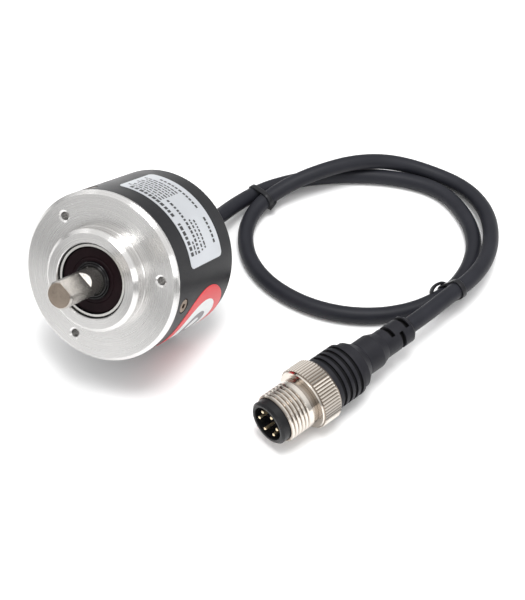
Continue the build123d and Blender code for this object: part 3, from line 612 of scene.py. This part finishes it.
tie_rear = tie("tie_rear", "cable_tie_rear", (6.8, 75.6, 4.2), (0.40, 0.91, 0.10), flare)
tie_side = tie("tie_side", "cable_tie_side", (83.2, 60.6, 6.4), (-0.38, -0.925, 0.0), arch)


# ---------------------------------------------------------------- print on the label and the sticker
PRINT_LIFT = 0.02 * MM
FILM_R = BODY_R + 0.12 * MM


def on_side(radius, centre, along, ahead):
    """Point on the body's side, some millimetres along its turn and ahead of a centre's angle and height."""
    return on_encoder(radius, centre[0] + math.degrees(along * MM / radius), centre[1] + ahead * MM)


def film(name, outlines, centre, radius, material):
    """Thin printed shapes laid on the body: each is a closed list of (along, ahead) in millimetres."""
    vertices, faces = [], []
    for outline in outlines:
        base = len(vertices)
        vertices += [on_side(radius, centre, s, t) for s, t in outline]
        count = len(outline)
        middle_s = sum(p[0] for p in outline) / count
        middle_t = sum(p[1] for p in outline) / count
        vertices.append(on_side(radius, centre, middle_s, middle_t))
        faces += [(base + k, base + (k + 1) % count, base + count) for k in range(count)]
    return mesh_piece(name, vertices, faces, material)


def disc_film(name, outer, inner, centre, radius, material, turn=72, rings=10):
    """A thin printed disc or ring that follows the body's curve."""
    vertices, faces = [], []
    for ring in range(rings + 1):
        r = inner + (outer - inner) * ring / rings
        for k in range(turn):
            a = math.tau * k / turn
            vertices.append(on_side(radius, centre, r * math.cos(a), r * math.sin(a)))
    for ring in range(rings):
        for k in range(turn):
            j = (k + 1) % turn
            faces.append((ring * turn + k, (ring + 1) * turn + k, (ring + 1) * turn + j, ring * turn + j))
    return mesh_piece(name, vertices, faces, material)


def lathe(name, profile, material, turn=96):
    """A closed ring turned about the encoder's axis from (radius, height) points."""
    count = len(profile)
    vertices = [
        on_encoder(radius, 360.0 * k / turn, height) for k in range(turn) for radius, height in profile
    ]
    faces = []
    for k in range(turn):
        j = (k + 1) % turn
        faces += [
            (k * count + i, j * count + i, j * count + (i + 1) % count, k * count + (i + 1) % count)
            for i in range(count)
        ]
    return mesh_piece(name, vertices, faces, material, smooth=math.radians(50))


seal_mesh = frame["nodes"]["shaft_seal"].data
seal_top = max((vertex.co - REAR).dot(FORWARD) for vertex in seal_mesh.vertices)
SEAL_PROFILE = (             # (radius, height from the seal's top) in millimetres, round its two lips
    (4.06, -1.45), (4.06, -0.60), (4.10, -0.36), (4.20, -0.16), (4.34, -0.04), (4.50, 0.00), (4.66, -0.05),
    (4.80, -0.18), (4.88, -0.36), (4.93, -0.42), (4.99, -0.36), (5.08, -0.27), (5.22, -0.24), (5.36, -0.29),
    (5.46, -0.42), (5.52, -0.60), (5.55, -0.80), (5.56, -1.45),
)
seal_points = [(r * MM, seal_top + h * MM) for r, h in SEAL_PROFILE]
seal = lathe("seal_lips", seal_points, materials["seal_rubber"])
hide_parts("shaft_seal")
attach(seal, "housing")


for name, colour, shade, rough, scale, specular in (
    ("print_black", (0.018, 0.018, 0.02), (0.028, 0.028, 0.03), 0.45, 300.0, 0.5),
    ("print_white", (0.76, 0.79, 0.79), (0.70, 0.73, 0.73), 0.34, 200.0, 0.3),
    ("print_grey", (0.17, 0.17, 0.18), (0.21, 0.21, 0.22), 0.36, 200.0, 0.3),
):
    materials[name] = moulded(name, colour, shade, rough, scale, 0.000002, specular=specular)

LABEL_MIDDLE = (59.0, 16.9 * MM)             # angle and height
LABEL_TURN = 80.0                            # degrees that the printed part covers
LABEL_LENGTH = math.radians(LABEL_TURN) * FILM_R / MM
LABEL_WIDE = 19.0
SHORTEST_BAR = 0.25
dice = random.Random(5)


def dashes(start, end, level, tall, short, long, gap):
    """Plain bars along a line of the label. start and end are parts of its length, level of its width."""
    made = []
    s = (start - 0.5) * LABEL_LENGTH
    stop = (end - 0.5) * LABEL_LENGTH
    t = (level - 0.5) * LABEL_WIDE
    while s < stop:
        run = min(dice.uniform(short, long), stop - s)
        if run > SHORTEST_BAR:
            below, above = t - tall / 2, t + tall / 2
            made.append([(s, below), (s + run, below), (s + run, above), (s, above)])
        s += run + gap * dice.uniform(0.8, 1.3)
    return made


BAR_LINES = [                # start, end, level, height, shortest, longest and gap of each line's bars
    (0.10, 0.39, 0.90, 1.55, 0.9, 1.3, 0.38),
    (0.46, 0.93, 0.90, 1.55, 0.9, 1.3, 0.38),
    (0.10, 0.22, 0.785, 0.8, 0.5, 1.4, 0.3),
    (0.10, 0.63, 0.69, 1.15, 0.6, 1.1, 0.4),
    (0.11, 0.40, 0.575, 0.85, 0.5, 1.2, 0.35),
    (0.12, 0.37, 0.47, 0.85, 0.5, 1.2, 0.35),
    (0.13, 0.36, 0.16, 1.1, 0.8, 1.2, 0.35),
    (0.45, 0.86, 0.16, 1.0, 0.7, 1.1, 0.4),
]
for row in range(7):
    BAR_LINES.append((0.64, 0.97 - 0.02 * (row % 3), 0.80 - 0.085 * row, 0.72, 0.5, 1.6, 0.30))
bars = [bar for line in BAR_LINES for bar in dashes(*line)]
label_print = film("label_print", bars, LABEL_MIDDLE, FILM_R + PRINT_LIFT, materials["print_black"])
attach(label_print, "housing")

STICKER_MIDDLE = (-31.0, 14.2 * MM)
for name, outer, inner, lifts, material in (
    ("sticker_white", 9.6, 0.0, 1, "print_white"),
    ("sticker_dot", 5.2, 2.6, 2, "print_grey"),
):
    printed = disc_film(
        name, outer, inner, STICKER_MIDDLE, FILM_R + lifts * PRINT_LIFT, materials[material]
    )
    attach(printed, "housing")


# ---------------------------------------------------------------- floor and light
def flat_stage(name, size, material):
    """A level square at the height of the floor."""
    data = bpy.data.meshes.new(name)
    s = size / 2
    data.from_pydata([(-s, -s, 0), (s, -s, 0), (s, s, 0), (-s, s, 0)], [], [(0, 1, 2, 3)])
    data.materials.append(material)
    return in_scene(name, data)


floor_nodes = Nodes("floor_paper")
floor_tone = floor_nodes.noise(6.0, 2.0)
floor_nodes.set("Base Color", floor_nodes.shades(floor_tone, (0.90, 0.90, 0.90), (0.89, 0.89, 0.89)))
floor_nodes.set("Roughness", 0.9)
floor_nodes.set("Specular IOR Level", 0.1)
floor = flat_stage("floor", 8.0, floor_nodes.material)

world = bpy.data.worlds.new("studio")
world.use_nodes = True
sky = world.node_tree
sky_place = sky.nodes.new("ShaderNodeTexCoord")
sky_parts = sky.nodes.new("ShaderNodeSeparateXYZ")
sky_ramp = sky.nodes.new("ShaderNodeMapRange")
sky_ramp.interpolation_type = "SMOOTHSTEP"
SKY_RAMP = (0.05, 0.85, 0.42, 1.05)          # from and to, then the strength at each
for socket, number in zip(sky_ramp.inputs[1:5], SKY_RAMP):
    socket.default_value = number
sky.links.new(sky_place.outputs["Generated"], sky_parts.inputs[0])
sky.links.new(sky_parts.outputs["Z"], sky_ramp.inputs["Value"])
sky.links.new(sky_ramp.outputs[0], sky.nodes["Background"].inputs["Strength"])
sky.nodes["Background"].inputs["Color"].default_value = (1.0, 1.0, 1.0, 1.0)
bpy.context.scene.world = world


MIDDLE = Vector((0.03, 0.04, 0.02))


def softbox(name, at, width, height, power):
    """A rectangular light that faces the object's middle."""
    data = bpy.data.lights.new(name, "AREA")
    data.shape = "RECTANGLE"
    data.size = width
    data.size_y = height
    data.energy = power
    light = in_scene(name, data)
    light.location = at
    light.rotation_mode = "QUATERNION"
    light.rotation_quaternion = (MIDDLE - Vector(at)).to_track_quat("-Z", "Y")
    return light


softbox("top", (0.12, -0.03, 0.88), 0.34, 0.34, 4.2)
softbox("right", (0.80, -0.24, 0.43), 0.30, 0.32, 1.1)
softbox("front", (0.21, -0.89, 0.32), 0.18, 0.34, 0.9)
softbox("left", (-0.70, -0.15, 0.50), 0.25, 0.45, 0.6)
fill = softbox("fill", (0.04, 0.04, 1.20), 1.0, 1.0, 5.5)
fill.visible_glossy = False

scene = bpy.context.scene
scene.view_settings.view_transform = "Standard"
scene.view_settings.look = "None"
scene.view_settings.exposure = 0.0
scene.view_settings.gamma = 1.0
